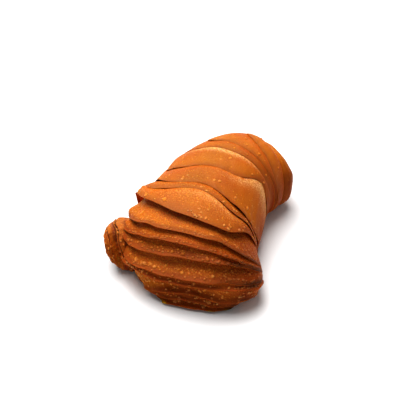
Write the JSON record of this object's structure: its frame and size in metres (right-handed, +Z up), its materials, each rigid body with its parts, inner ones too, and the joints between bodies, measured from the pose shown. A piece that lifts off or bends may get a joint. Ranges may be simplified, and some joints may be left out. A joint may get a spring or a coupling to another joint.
{
  "type": "sfogliatella",
  "caption": "Curled pastry roll of thin browned leaves, wide and fanned at one end, rounded at the other, with the tip of the roll at its side; one baked piece that lies flat.",
  "frame": {"origin": "middle of the box's footprint, at the height of the flat underside", "axes": "+Z up from the table, +Y along the roll towards its rounded far end, +X to the side away from the roll's tip"},
  "size_m": [0.0956, 0.1156, 0.0504],
  "materials": {
    "crust": "baked pastry crust, golden orange to rose brown, thin and lightly glossy with fine blisters"
  },
  "bodies": {
    "root": {"pastry": "crust"}
  },
  "joints": []
}
